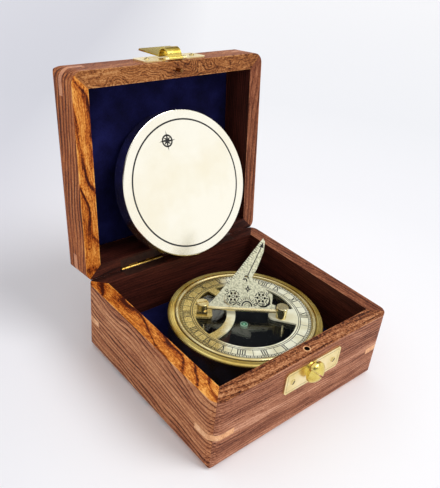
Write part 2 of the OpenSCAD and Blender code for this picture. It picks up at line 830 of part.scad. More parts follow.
// The rod that the gnomon turns on, with a journal in each post
module gnomon_rod() {
    side = 0.2;
    x0 = -post_left + post_r + side;
    x1 = post_right - post_r - side;
    color("#d9cf9a") on_compass() translate([0, rod_back, rod_z]) rotate([0, 90, 0]) {
        translate([0, 0, x0]) cylinder(r = rod_r, h = x1 - x0);
        translate([0, 0, -post_left - post_r]) cylinder(r = journal_r, h = post_left + post_r + post_right + post_r);
    }
}

// Outline of the gnomon plate: x along the rod, y up the plate from the rod
module gnomon_outline() {
    scale(gnomon_h / gnomon_drawn_h) polygon([
        [-24.2, 0], [-24.2, 2.4], [-21.8, 4.9], [-6.2, 25.4], [8.9, 47], [10.3, 45.0], [9.6, 38.2],
        [7.5, 31.8], [5.4, 26.1], [3.4, 22.5], [2.8, 20.5], [4.5, 18.7], [16.0, 10.5], [16.5, 9.4],
        [16.0, 4.4], [18.4, 3.6], [18.4, 0]]);
}

// One side's ornament about its rosette: six petals in the lap of a crescent with two small dots
module rosette_piercing() {
    petal_ring = 2.3;
    petal_r = 0.8;
    crescent_at = [1.5, -1.6];
    crescent_r = 4.5;
    lap_at = [1, -0.9];
    lap_r = 4.15;
    dot_r = 0.35;
    for (turn = [0 : 60 : 300]) rotate([0, 0, turn]) translate([petal_ring, 0]) circle(petal_r);
    difference() {
        translate(crescent_at) circle(crescent_r);
        translate(lap_at) circle(lap_r);
    }
    translate([4.2, -0.3]) circle(dot_r);
    translate([-0.8, -3.6]) circle(dot_r);
}

// A small crescent with its hollow below
module moon_piercing() {
    moon_r = 1.1;
    difference() {
        circle(moon_r);
        translate([-0.3, -0.8]) circle(moon_r);
    }
}

// The pierced ornament: a rosette at each side, a lily between them and two moons under the style
module gnomon_piercing() {
    side_x = 9;
    side_y = 7.9;
    lily_y = 13.1;
    scale(gnomon_h / gnomon_drawn_h) {
        for (s = [0, 1]) mirror([s, 0]) translate([side_x, side_y]) rosette_piercing();
        translate([0.2, lily_y]) {
            translate([0, 1.3]) circle(0.6);
            translate([0, -1.4]) circle(0.45);
            for (s = [-1, 1]) translate([1.4 * s, 0]) circle(0.35);
        }
        translate([-1, 20.4]) moon_piercing();
        translate([-1.9, 18.4]) moon_piercing();
    }
}

module gnomon_plate() {
    color("#e4dca8") on_compass() translate([0, rod_back, rod_z]) rotate([90 - lean, 0, 0])
        difference() {
            translate([0, 0, -gnomon_t / 2]) linear_extrude(gnomon_t) difference() {
                gnomon_outline();
                gnomon_piercing();
            }
            bar_x(rod_r, 4 * post_left);
        }
}

// The spun cover, standing on its back rim edge and leaning on the lid's lining
module cover() {
    edge_r = 0.8;
    line_w = 0.9;
    line_d = 0.3;
    color("#d8c060") translate([cover_x, foot_y, foot_z]) rotate([90 - cover_lean, 0, 0])
        translate([0, cover_r, 0]) difference() {
            union() {
                cylinder(r = cover_r, h = cover_d - edge_r);
                cylinder(r = cover_r - edge_r, h = cover_d);
                translate([0, 0, cover_d - edge_r]) rotate_extrude() translate([cover_r - edge_r, 0]) circle(edge_r);
            }
            translate([0, 0, -over]) cylinder(r = cover_r - cover_t, h = cover_d - cover_t + over);
            translate([0, 0, cover_d - line_d]) difference() {
                cylinder(r = ring_line_r + line_w / 2, h = over);
                cylinder(r = ring_line_r - line_w / 2, h = over);
            }
        }
}

base_front_wall();
base_back_wall();
base_left_wall();
base_right_wall();
base_floor();
base_pad();
base_velvet();
base_splines();
rim_bush();
catch_plate();
catch_stud();
catch_screws();
hinge_lower_leaves();
hinge_lower_screws();
hinge_pins();
hinge_upper_leaves();
hinge_upper_screws();
lid_front_wall();
lid_back_wall();
lid_left_wall();
lid_right_wall();
lid_panel();
lid_velvet();
lid_splines();
lid_dowel();
clasp_plate();
clasp_screws();
clasp_pin();
clasp_lever();
compass_case();
bezel_ring();
dial_plate();
glass();
glass_gasket();
compass_card();
card_magnets();
jewel_cap();
pivot();
left_post();
right_post();
gnomon_rod();
gnomon_plate();
cover();
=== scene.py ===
"""Looks of the boxed sundial compass: oiled rosewood, navy velvet and turned, engraved brass."""

import math

import bmesh
import bpy
from mathutils import Matrix, Vector


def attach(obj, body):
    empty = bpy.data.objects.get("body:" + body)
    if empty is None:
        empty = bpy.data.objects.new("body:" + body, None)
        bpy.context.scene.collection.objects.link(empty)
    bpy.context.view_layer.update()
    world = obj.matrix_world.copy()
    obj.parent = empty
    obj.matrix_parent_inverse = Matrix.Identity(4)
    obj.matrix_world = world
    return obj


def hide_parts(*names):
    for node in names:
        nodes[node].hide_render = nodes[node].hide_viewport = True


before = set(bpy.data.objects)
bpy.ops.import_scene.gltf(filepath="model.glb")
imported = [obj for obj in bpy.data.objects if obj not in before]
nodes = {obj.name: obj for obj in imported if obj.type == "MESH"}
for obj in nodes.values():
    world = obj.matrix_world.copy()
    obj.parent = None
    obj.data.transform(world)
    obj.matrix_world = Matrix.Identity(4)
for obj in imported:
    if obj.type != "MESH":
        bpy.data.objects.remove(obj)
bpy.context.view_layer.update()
MM = 0.001

# Sizes of the box, the lid's turn about its hinge pin, and the compass, in millimetres and degrees
BOX_W, BOX_D, WALL = 142.0, 130.0, 10.0
BASE_H, LID_Z = 50.5, 51.0
PIN_Y, PIN_Z, OPEN_ANGLE = 63.5, 50.75, 96.0
PAD_TOP, LINING_TOP = 17.0, 17.8
LINING_W, LINING_D = 121.6, 109.6
LID_LINING_Z, LINING_T = 74.7, 0.8
COMPASS_X, COMPASS_Y, CASE_R, ROD_TURN = 4.4, -4.6, 48.8, 38.0
DIAL_Z, ROD_Z, ROD_BACK, LEAN, PLATE_T = 38.0, 42.2, -1.5, 42.0, 1.6
CARD_TOP = 26.6
COVER_FOOT = (7.0, 57.5, 50.6)
COVER_R, COVER_D, COVER_LEAN = 49.0, 10.8, 23.62
# Height of engraved and printed shapes over their face
ENGRAVED_LIFT = 0.04


# Camera at the photograph's own place, worked out from the box's corners
def stand_camera():
    right = Vector((0.76545, -0.63676, 0.09291))
    down = Vector((-0.26278, -0.4411, -0.85813))
    forward = Vector((0.5874, 0.63244, -0.50496))
    stand = (-0.22129, -0.2165, 0.26807)
    focal_px, picture_px, film = 595.52, 488, 36
    turn = Matrix((right, -down, -forward)).transposed().to_4x4()
    lens = bpy.data.cameras.new("camera")
    lens.sensor_width = film
    lens.lens = focal_px / picture_px * film
    lens.clip_start = 0.01
    camera = bpy.data.objects.new("camera", lens)
    camera.matrix_world = Matrix.Translation(stand) @ turn
    bpy.context.scene.collection.objects.link(camera)
    bpy.context.scene.camera = camera


stand_camera()


def linear(hex_colour):
    """An sRGB hex colour as the linear values that a shader takes."""
    parts = [int(hex_colour[i : i + 2], 16) / 255 for i in (1, 3, 5)]
    low = [c / 12.92 if c <= 0.04045 else ((c + 0.055) / 1.055) ** 2.4 for c in parts]
    return (*low, 1.0)


def add(tree, kind, sockets=None, stops=None, **settings):
    """Adds one node. Sockets are linked where they are given a socket, and set otherwise."""
    made = tree.nodes.new("ShaderNode" + kind)
    for key, value in settings.items():
        setattr(made, key, value)
    for key, value in (sockets or {}).items():
        if isinstance(value, bpy.types.NodeSocket):
            tree.links.new(value, made.inputs[key])
        else:
            made.inputs[key].default_value = value
    if stops:
        ramp = made.color_ramp.elements
        while len(ramp) < len(stops):
            ramp.new(0.5)
        for element, (place, colour) in zip(ramp, stops):
            element.position = place
            element.color = linear(colour) if isinstance(colour, str) else (colour, colour, colour, 1)
    return made


def blend(tree, share, first, second):
    """From the first colour to the second, by a share."""
    return add(tree, "Mix", {"Factor": share, 6: first, 7: second}, data_type="RGBA").outputs[2]


def calc(tree, operation, *values):
    """A math node's result."""
    return add(tree, "Math", dict(enumerate(values)), operation=operation).outputs[0]


def drawn_out(tree, where, stretch, detail, roughness=0.5, distortion=0.0):
    """Noise with a scale for each direction, as grain is drawn out along a board."""
    at = add(tree, "Mapping", {"Vector": where, "Scale": stretch})
    noise = add(tree, "TexNoise", {
        "Vector": at.outputs[0], "Scale": 1.0, "Detail": detail, "Roughness": roughness,
        "Distortion": distortion})
    return noise.outputs["Fac"]


def off_axis(tree, here, kept):
    """Distance from an axis. The kept directions, marked 1, lie across it."""
    across = add(tree, "VectorMath", {0: here, 1: kept}, operation="MULTIPLY")
    return add(tree, "VectorMath", {0: across.outputs[0]}, operation="LENGTH").outputs["Value"]


def new_finish(name):
    material = bpy.data.materials.new(name)
    material.use_nodes = True
    tree = material.node_tree
    tree.nodes.clear()
    return material, tree


def finish_with(tree, surface):
    add(tree, "OutputMaterial", {"Surface": surface})


def dress(node_names, material):
    for name in node_names:
        mesh = nodes[name].data
        mesh.materials.clear()
        mesh.materials.append(material)


# Places of the pieces in the part's frame, in millimetres
def shut_to_open():
    """The lid's own turn, from shut to the open rest."""
    pin = Vector((0, PIN_Y, PIN_Z))
    swing = Matrix.Rotation(-math.radians(OPEN_ANGLE), 4, "X")
    return Matrix.Translation(pin) @ swing @ Matrix.Translation(-pin)


def compass_place(z):
    spin = Matrix.Rotation(-math.radians(ROD_TURN), 4, "Z")
    return Matrix.Translation((COMPASS_X, COMPASS_Y, z)) @ spin


def gnomon_place():
    tip = Matrix.Rotation(math.radians(90 - LEAN), 4, "X")
    return compass_place(ROD_Z) @ Matrix.Translation((0, ROD_BACK, 0)) @ tip


def cover_place():
    tip = Matrix.Rotation(math.radians(90 - COVER_LEAN), 4, "X")
    return Matrix.Translation(COVER_FOOT) @ tip @ Matrix.Translation((0, COVER_R, 0))


def board_place(side, lid):
    """From the part's frame to a board's own: x along it, y upward, z out of its outer face."""
    out, half = {
        "front": (Vector((0, -1, 0)), BOX_D / 2),
        "back": (Vector((0, 1, 0)), BOX_D / 2),
        "left": (Vector((-1, 0, 0)), BOX_W / 2),
        "right": (Vector((1, 0, 0)), BOX_W / 2),
        "flat": (Vector((0, -1, 0)), 0),
    }[side]
    up = Vector((0, 0, 1))
    turn = Matrix((up.cross(out), up, out)).to_4x4()
    place = Matrix.Translation((0, -LID_Z if lid else 0, -half)) @ turn
    return place @ shut_to_open().inverted() if lid else place


def mapped(tree, place, scale=(1, 1, 1)):
    """Object coordinates in millimetres, taken to a place of the object's own."""
    where = add(tree, "TexCoord").outputs["Object"]
    shift, turn, _ = place.decompose()
    moved = add(tree, "Mapping", {
        "Vector": where, "Location": shift, "Rotation": turn.to_euler(), "Scale": (1 / MM,) * 3})
    if scale == (1, 1, 1):
        return moved.outputs[0]
    return add(tree, "Mapping", {"Vector": moved.outputs[0], "Scale": scale}).outputs[0]


# How far into a board its inner face's colour reaches, and a height that no board reaches
SKIN, NOWHERE = 0.1, 500.0


# Rosewood (sheesham), planed and oiled: thin dark growth lines that flow along warm brown boards,
# fine open pores and a low satin gloss. Growth lines lie 1.2 to 3.6 mm apart, and pores are drawn
# 0.5 mm wide, twice the real width, so that they show.
def rosewood(name, place, board, face, rim, inner_shade):
    # Shares of fine grain and pores in the tone, and the tone's contrast and middle
    fine_share, pore_share, contrast, mid_tone = 0.75, 0.14, 1.5, 0.6
    # Width of a rim's paler edges, a painted highlight where the rounded arris catches the light (partly
    # also wear), and how much paler it is, and how near to a face counts as on it
    arris, arris_highlight_tone, near = 0.4, 0.16, 0.12
    # The hole bored in a rim, painted nearly black inside as its shade: its radius, and the middle and reach
    # of its depth
    hole_r, hole_mid, hole_reach = 2.7, 6.2, 6.0
    # Strength of the glue line along a mitre
    glue_share = 0.45
    material, tree = new_finish(name)
    here = mapped(tree, place)
    flow = add(tree, "Mapping", {
        "Vector": here, "Rotation": (math.radians(board["tilt"]), 0, math.radians(board["slope"])),
        "Location": (board["shift"], board["shift"] * 1.7, board["shift"] * 0.6)})
    sway = drawn_out(tree, flow.outputs[0], (board["bends"], 0.035, 0.035), 2.0, roughness=0.4)
    lean = calc(tree, "MULTIPLY", sway, board["wave"])
    layer_at = add(tree, "SeparateXYZ", {0: flow.outputs[0]})
    level = calc(tree, "ADD", layer_at.outputs[1], lean)
    course = add(tree, "CombineXYZ", {0: layer_at.outputs[0], 1: level, 2: layer_at.outputs[2]})
    ring_at = calc(tree, "DIVIDE", level, board["spacing"])
    ring = calc(tree, "FRACT", ring_at)
    rings = add(tree, "ValToRGB", {"Fac": ring}, stops=[
        (0.0, 0.0), (0.07, 0.1), (0.16, 0.85), (0.45, 1.0), (0.86, 0.62), (1.0, 0.0)])
    fade = drawn_out(tree, course.outputs[0], (0.03, 0.16, 0.05), 1.0)
    strength = add(tree, "MapRange", {
        "Value": fade, "From Min": 0.38, "From Max": 0.6, "To Min": board["bold"] * 0.5,
        "To Max": board["bold"]})
    lack = calc(tree, "SUBTRACT", rings.outputs[0], 1.0)
    lines = calc(tree, "MULTIPLY", lack, strength.outputs[0])
    band = drawn_out(tree, course.outputs[0], (0.003, 0.13, 0.07), 2.0)
    fine = drawn_out(tree, course.outputs[0], (0.05, 1.5, 1.2), 3.0, roughness=0.6)
    pore = drawn_out(tree, course.outputs[0], (0.45, 2.4, 2.4), 1.0)
    pores = add(tree, "ValToRGB", {"Fac": pore}, stops=[(0.34, 0.0), (0.42, 1.0)])
    mottle = add(tree, "TexNoise", {"Vector": here, "Scale": 0.9, "Detail": 3.0, "Roughness": 0.7})
    tone = lines
    parts_of_tone = (
        (band, board["bands"]), (fine, fine_share), (mottle.outputs["Fac"], board["mottle"]),
        (pores.outputs[0], pore_share),
    )
    for part, share in parts_of_tone:
        tone = calc(tree, "MULTIPLY_ADD", part, share, tone)
    middling = 0.5 * (board["bands"] + fine_share + board["mottle"]) + pore_share
    level_tone = calc(tree, "SUBTRACT", tone, middling)
    tone = calc(tree, "MULTIPLY_ADD", level_tone, contrast, mid_tone)
    curl = drawn_out(tree, here, (0.8, 1.3, 1.3), 2.0, distortion=0.6)
    figure = calc(tree, "SUBTRACT", curl, 0.5)
    figured = calc(tree, "MULTIPLY_ADD", figure, board["curl"], tone)
    parts = add(tree, "SeparateXYZ", {0: here})
    along, height, depth = parts.outputs[0], parts.outputs[1], parts.outputs[2]
    # Painted highlight: the rim's tone is paler along both edges of the rim
    middle = calc(tree, "COMPARE", depth, -WALL / 2, WALL / 2 - arris)
    lowered = calc(tree, "MULTIPLY_ADD", middle, -arris_highlight_tone, figured)
    rim_tone = calc(tree, "ADD", lowered, arris_highlight_tone)
    spread = (0.1, 0.36, 0.6, 0.86)
    shades = [
        add(tree, "ValToRGB", {"Fac": depth_of_tone}, stops=list(zip(spread, tones))).outputs[0]
        for depth_of_tone, tones in ((tone, face), (rim_tone, rim), (tone, inner_shade))
    ]
    on_rim = calc(tree, "COMPARE", height, board["rim_at"], near)
    in_box = calc(tree, "LESS_THAN", depth, SKIN - WALL)
    in_hole = calc(tree, "COMPARE", depth, -WALL / 2, hole_r)
    below = calc(tree, "COMPARE", height, board["rim_at"] + board["into"] * hole_mid, hole_reach)
    hole_shade_mask = calc(tree, "MINIMUM", in_hole, below)
    # Painted shade: faces inside the box take the darker inner palette
    inner = blend(tree, in_box, shades[0], shades[2])
    # Painted shade: the inside of the rim's hole is nearly black
    with_hole_shade = blend(tree, hole_shade_mask, inner, linear("#0e0604"))
    wood = blend(tree, on_rim, with_hole_shade, shades[1])
    side_way = calc(tree, "ABSOLUTE", along)
    from_mitre = calc(tree, "SUBTRACT", depth, side_way)
    glue = calc(tree, "COMPARE", from_mitre, -board["half"], near)
    seam = calc(tree, "MULTIPLY", glue, glue_share)
    colour = blend(tree, seam, wood, linear("#5a2416"))
    gloss = add(tree, "MapRange", {"Value": tone, "To Min": 0.6, "To Max": 0.45})
    relief = calc(tree, "ADD", pores.outputs[0], fine)
    bump = add(tree, "Bump", {"Height": relief, "Strength": 0.25, "Distance": 0.08 * MM})
    skin = add(tree, "BsdfPrincipled", {
        "Base Color": colour, "Roughness": gloss.outputs[0], "Normal": bump.outputs[0],
        "IOR": 1.5, "Specular IOR Level": 0.14})
    finish_with(tree, skin.outputs[0])
    return material


OUTER = ("#4c2013", "#8f553b", "#b57a5b", "#d6a284")
OUTER_LEFT = ("#4a1b0c", "#985533", "#c18256", "#dfa577")
OUTER_LID = ("#3a1306", "#783716", "#a85f30", "#cf8e58")
# The lid's left face: a brighter, more orange copy of the lid's palette, painted light on a face turned from
# the key
OUTER_LID_LEFT_PAINTED_LIGHT = ("#3a1205", "#7f3a15", "#b6662f", "#de985a")
# Inner faces: a darker palette, painted shade inside the box
INNER_PAINTED_SHADE = ("#190a08", "#34150f", "#492018", "#5e2e24")
# Back walls' rims: a dark palette, painted shade in the groove between the back rims at the hinge
RIM_BACK_SHADED = ("#160807", "#2e140e", "#452018", "#5a2c20")
RIM_AMBER = ("#401204", "#a04a12", "#d58230", "#f2b05a")
RIM_BROWN = ("#2e0f06", "#6c361b", "#a06038", "#cb9064")
RIM_LID = ("#2e1006", "#76401e", "#a86a38", "#cf9760")
RIM_RED = ("#2a0d06", "#64301c", "#8e5235", "#b67a56")
# Each board's cut: slope and tilt of its layers, size and pace of their bends, where it starts,
# spacing and strength of the growth lines, and strength of broad bands, mottle and curled figure.
# The flat panels have no rim and no mitre.
CUT = ("slope", "tilt", "wave", "bends", "shift", "spacing", "bold", "bands", "mottle", "curl")
BOARDS = [
    ("base_front_wall", "front", False, (2, 30, 8, 0.012, 3, 1.7, 0.22, 0.85, 0.4, 1.3), OUTER, RIM_BROWN),
    ("base_back_wall", "back", False, (-2, 20, 6, 0.012, 41, 2.1, 0.2, 0.6, 0.4, 0.2), OUTER, RIM_BACK_SHADED),
    ("base_left_wall", "left", False, (6, 24, 16, 0.016, 64, 3.0, 0.42, 0.5, 0.35, 0.5),
     OUTER_LEFT, RIM_AMBER),
    ("base_right_wall", "right", False, (-3, 30, 6, 0.012, 29, 1.6, 0.25, 0.5, 0.35, 0.4), OUTER, RIM_RED),
    ("base_floor", "flat", False, (2, 15, 5, 0.01, 57, 1.6, 0.3, 0.6, 0.35, 0.2), OUTER, OUTER),
    ("lid_front_wall", "front", True, (-4, 40, 40, 0.03, 71, 1.25, 0.24, 0.4, 0.45, 0.6),
     OUTER_LID, RIM_LID),
    ("lid_back_wall", "back", True, (3, 20, 6, 0.012, 17, 2.1, 0.3, 0.5, 0.4, 0.2), OUTER_LID, RIM_BACK_SHADED),
    ("lid_left_wall", "left", True, (5, 16, 12, 0.02, 52, 3.6, 0.45, 0.3, 0.35, 0.5),
     OUTER_LID_LEFT_PAINTED_LIGHT, RIM_AMBER),
    ("lid_right_wall", "right", True, (-2, 30, 6, 0.012, 61, 1.7, 0.3, 0.5, 0.35, 0.4), OUTER_LID, RIM_RED),
    ("lid_panel", "flat", True, (2, 15, 5, 0.01, 91, 1.6, 0.32, 0.7, 0.35, 0.2), OUTER_LID, OUTER_LID),
]
for name, side, lid, cut, face, rim in BOARDS:
    look = dict(zip(CUT, cut))
    look["rim_at"] = 0.0 if lid else BASE_H
    look["into"] = 1 if lid else -1
    look["half"] = BOX_W / 2 if side in ("front", "back") else BOX_D / 2
    if side == "flat":
        look["rim_at"] = look["half"] = NOWHERE
    inner_shade = face if side == "flat" else INNER_PAINTED_SHADE
    dress([name], rosewood("rosewood_" + name, board_place(side, lid), look, face, rim, inner_shade))


# Maple splines and bush, planed flush: pale tan end grain with fine brown flecks under 1 mm across
def maple(name, dark, mid, pale, hole_shade=None):
    """With a hole shade colour, every face that doesn't look up takes it: painted shade inside a hole."""
    material, tree = new_finish(name)
    here = mapped(tree, Matrix.Identity(4))
    fleck = add(tree, "TexNoise", {"Vector": here, "Scale": 1.1, "Detail": 3.0})
    growth = add(tree, "TexNoise", {"Vector": here, "Scale": 0.2, "Detail": 2.0})
    both = calc(tree, "MULTIPLY", fleck.outputs["Fac"], growth.outputs["Fac"])
    colour = add(tree, "ValToRGB", {"Fac": both},
                 stops=[(0.1, dark), (0.25, mid), (0.42, pale)])
    paint = colour.outputs[0]
    if hole_shade:
        facing = add(tree, "SeparateXYZ", {0: add(tree, "TexCoord").outputs["Normal"]})
        upward = calc(tree, "GREATER_THAN", facing.outputs[2], 0.5)
        paint = blend(tree, upward, linear(hole_shade), paint)
    bump = add(tree, "Bump", {"Height": fleck.outputs["Fac"], "Strength": 0.2, "Distance": 0.08 * MM})
    skin = add(tree, "BsdfPrincipled", {
        "Base Color": paint, "Roughness": 0.45, "Normal": bump.outputs[0], "IOR": 1.5})
    finish_with(tree, skin.outputs[0])
    return material


dress(["base_splines"], maple("maple_end_grain", "#bd7a4a", "#e6a872", "#f5c496"))
# The bush's hole is painted dark inside: painted shade
dress(["rim_bush"], maple("maple_painted_hole_shade", "#bd7a4a", "#e6a872", "#f5c496", hole_shade="#1c0c06"))
dress(["lid_splines"], maple("stained_maple", "#9c5a34", "#cc8152", "#e0a070"))


# Cotton velvet, dyed navy: a deep matt pile that turns paler where it lies across the light.
# Brushed patches are 10 to 20 mm across, and the pile is drawn 0.6 mm coarse, twice its real size.
def navy_velvet():
    material, tree = new_finish("navy_cotton_velvet")
    here = mapped(tree, Matrix.Identity(4))
    patch = add(tree, "TexNoise", {"Vector": here, "Scale": 0.06, "Detail": 3.0})
    pile = add(tree, "TexNoise", {"Vector": here, "Scale": 1.7, "Detail": 2.0})
    nap = calc(tree, "MULTIPLY_ADD", pile.outputs["Fac"], 0.35, patch.outputs["Fac"])
    colour = add(tree, "ValToRGB", {"Fac": nap},
                 stops=[(0.4, "#0a0a22"), (0.65, "#12123c"), (0.95, "#1d1f55")])
    bump = add(tree, "Bump", {"Height": pile.outputs["Fac"], "Strength": 0.7, "Distance": 0.25 * MM})
    skin = add(tree, "BsdfPrincipled", {
        "Base Color": colour.outputs[0], "Roughness": 0.95, "Normal": bump.outputs[0],
        "Specular IOR Level": 0.1, "Sheen Weight": 0.15, "Sheen Roughness": 0.4,
        "Sheen Tint": linear("#303c90")})
    finish_with(tree, skin.outputs[0])
    return material


VELVET = navy_velvet()


# Brass, cast or turned and polished: warm pale yellow with a soft mirror, faint turning marks
# drawn 0.7 mm apart, and browner tarnish in thin clouds. Where metal is under 1, the faces that look
# up are lacquered and scatter part of their light. Ringed darkens the turning marks.
def brass(name, bright, dull, roughness, centre=None, mark=0.02, cloud=0.05, stipple=0.0, metal=1.0,
          ringed=0.0):
    material, tree = new_finish(name)
    here = mapped(tree, centre.inverted() if centre else Matrix.Identity(4))
    if centre:
        reach = off_axis(tree, here, (1, 1, 0))
        turned = add(tree, "TexNoise", {"W": reach, "Scale": 1.4, "Detail": 2.0}, noise_dimensions="1D")
    else:
        turned = add(tree, "TexNoise", {"Vector": here, "Scale": 0.8, "Detail": 3.0})
    grit = add(tree, "TexNoise", {"Vector": here, "Scale": 2.6, "Detail": 1.0})
    tarnish = add(tree, "TexNoise", {"Vector": here, "Scale": cloud, "Detail": 4.0, "Roughness": 0.6})
    colour = add(tree, "ValToRGB", {"Fac": tarnish.outputs["Fac"]}, stops=[(0.35, dull), (0.58, bright)])
    grooved = add(tree, "MapRange", {
        "Value": turned.outputs["Fac"], "From Min": 0.52, "From Max": 0.4, "To Min": 0.0, "To Max": ringed})
    toned = blend(tree, grooved.outputs[0], colour.outputs[0], linear("#4a3210"))
    gloss = add(tree, "MapRange", {
        "Value": tarnish.outputs["Fac"], "From Min": 0.3, "From Max": 0.7,
        "To Min": roughness + 0.08, "To Max": max(roughness - 0.03, 0.03)})
    relief = calc(tree, "MULTIPLY_ADD", grit.outputs["Fac"], stipple, turned.outputs["Fac"])
    bump = add(tree, "Bump", {"Height": relief, "Strength": 0.5, "Distance": mark * MM})
    facing = add(tree, "SeparateXYZ", {0: add(tree, "TexCoord").outputs["Normal"]})
    scattering = add(tree, "MapRange", {
        "Value": facing.outputs[2], "From Min": 0.2, "From Max": 0.6, "To Min": 1.0, "To Max": metal})
    skin = add(tree, "BsdfPrincipled", {
        "Base Color": toned, "Metallic": scattering.outputs[0], "Roughness": gloss.outputs[0],
        "Normal": bump.outputs[0]})
    finish_with(tree, skin.outputs[0])
    return material


COMPASS = compass_place(0)
dress(["compass_case"], brass("turned_brass", "#fde68c", "#d4ac44", 0.22, COMPASS, metal=0.6, ringed=0.6))
dress(["bezel_ring"], brass("bezel_brass", "#fbecb0", "#dec070", 0.26, COMPASS, metal=0.6, ringed=0.5))
dress(["gnomon_plate"], brass(
    "silvered_gnomon_brass", "#f6f4d6", "#b4b392", 0.32, mark=0.1, cloud=0.9, stipple=1.2, metal=0.7))
dress(["left_post", "right_post", "gnomon_rod"],
      brass("polished_post_brass", "#f3e6b6", "#c9ae68", 0.22, metal=0.8))
dress(["cover"], brass(
    "spun_cover_brass", "#fffbec", "#fbf4de", 0.2, cover_place(), mark=0.008, cloud=0.02))
dress(["catch_plate", "clasp_plate"], brass("clasp_plate_brass", "#fdeebb", "#ecd78e", 0.28))
dress(["catch_stud", "clasp_lever"], brass("yellow_clasp_brass", "#ecd778", "#bfa03c", 0.24))
dress(["catch_screws", "clasp_screws", "clasp_pin"], brass("screw_brass", "#f3dfa0", "#cdb266", 0.26))
dress(["lid_dowel"], brass("browned_dowel_brass", "#8a6038", "#3a2010", 0.3))


# Dial brass, silvered by rubbing and lacquered: a satin cream that scatters part of its light. The
# silvering has worn to golden brass over the dial's left third, and engraving grit is 0.6 mm coarse.
def silvered_dial():
    material, tree = new_finish("silvered_dial_brass")
    toward_wear = math.radians(-40)
    worn_side = Matrix.Translation((COMPASS_X, COMPASS_Y, 0)) @ Matrix.Rotation(toward_wear, 4, "Z")
    here = mapped(tree, worn_side.inverted())
    across = add(tree, "SeparateXYZ", {0: here})
    cloud = add(tree, "TexNoise", {"Vector": here, "Scale": 0.12, "Detail": 4.0})
    grit = add(tree, "TexNoise", {"Vector": here, "Scale": 1.6, "Detail": 2.0})
    ragged = calc(tree, "MULTIPLY_ADD", cloud.outputs["Fac"], 14.0, across.outputs[0])
    kept = add(tree, "MapRange", {"Value": ragged, "From Min": -11.0, "From Max": -3.0})
    golden = add(tree, "ValToRGB", {"Fac": grit.outputs["Fac"]},
                 stops=[(0.35, "#b0903c"), (0.62, "#fbe79c")])
    silver = add(tree, "ValToRGB", {"Fac": cloud.outputs["Fac"]},
                 stops=[(0.35, "#ece7c4"), (0.6, "#fefde4")])
    colour = blend(tree, kept.outputs[0], golden.outputs[0], silver.outputs[0])
    metal = add(tree, "MapRange", {"Value": kept.outputs[0], "To Min": 0.7, "To Max": 0.15})
    bump = add(tree, "Bump", {"Height": grit.outputs["Fac"], "Strength": 0.5, "Distance": 0.02 * MM})
    skin = add(tree, "BsdfPrincipled", {
        "Base Color": colour, "Metallic": metal.outputs[0], "Roughness": 0.35,
        "Normal": bump.outputs[0]})
    finish_with(tree, skin.outputs[0])
    return material


dress(["dial_plate"], silvered_dial())


# Hinge brass, browned by oxide and darkened further by painted shade, so that it reads as part of the wood.
# Only the top of the left hinge's knuckles is bright: a painted highlight where the light catches the
# barrel.
def hinge_brass_painted_light():
    knuckle_r, highlight_above = 1.72, 0.75
    material, tree = new_finish("hinge_brass_painted_shade_and_highlight")
    pin = Matrix.Translation((0, PIN_Y, PIN_Z))
    here = mapped(tree, pin.inverted())
    reach = off_axis(tree, here, (0, 1, 1))
    parts = add(tree, "SeparateXYZ", {0: here})
    # Painted highlight: only the upper side of the left hinge's knuckles is bright, the rest is brown oxide
    # and painted shade
    rolled = calc(tree, "LESS_THAN", reach, knuckle_r)
    upper = calc(tree, "GREATER_THAN", parts.outputs[2], highlight_above)
    left = calc(tree, "LESS_THAN", parts.outputs[0], 0.0)
    lit_top_left = calc(tree, "MULTIPLY", upper, left)
    knuckle = calc(tree, "MULTIPLY", rolled, lit_top_left)
    cloud = add(tree, "TexNoise", {"Vector": here, "Scale": 0.35, "Detail": 3.0})
    oxide_and_shade_tones = add(tree, "ValToRGB", {"Fac": cloud.outputs["Fac"]}, stops=[(0.35, "#2a120c"), (0.7, "#3f2116")])
    lit_knuckle_tones = add(tree, "ValToRGB", {"Fac": cloud.outputs["Fac"]}, stops=[(0.3, "#7c5c24"), (0.6, "#c9a656")])
    colour = blend(tree, knuckle, oxide_and_shade_tones.outputs[0], lit_knuckle_tones.outputs[0])
    gloss = add(tree, "MapRange", {"Value": knuckle, "To Min": 0.5, "To Max": 0.22})
    bare = add(tree, "MapRange", {"Value": knuckle, "To Min": 0.3, "To Max": 1.0})
    skin = add(tree, "BsdfPrincipled", {
        "Base Color": colour, "Metallic": bare.outputs[0], "Roughness": gloss.outputs[0]})
    finish_with(tree, skin.outputs[0])
    return material


dress(["hinge_lower_leaves", "hinge_upper_leaves", "hinge_pins", "hinge_lower_screws", "hinge_upper_screws"],
      hinge_brass_painted_light())


# Steel pivot and magnets, ground: cool grey with short scratches
def ground_steel():
    material, tree = new_finish("ground_steel")
    here = mapped(tree, Matrix.Identity(4), (0.4, 3, 3))
    scratch = add(tree, "TexNoise", {"Vector": here, "Scale": 1.5, "Detail": 2.0})
    colour = add(tree, "ValToRGB", {"Fac": scratch.outputs["Fac"]},
                 stops=[(0.3, "#6d7075"), (0.7, "#b9bcc2")])
    bump = add(tree, "Bump", {"Height": scratch.outputs["Fac"], "Strength": 0.3, "Distance": 0.02 * MM})
    skin = add(tree, "BsdfPrincipled", {
        "Base Color": colour.outputs[0], "Metallic": 1.0, "Roughness": 0.3, "Normal": bump.outputs[0]})
    finish_with(tree, skin.outputs[0])
    return material


dress(["pivot", "card_magnets"], ground_steel())


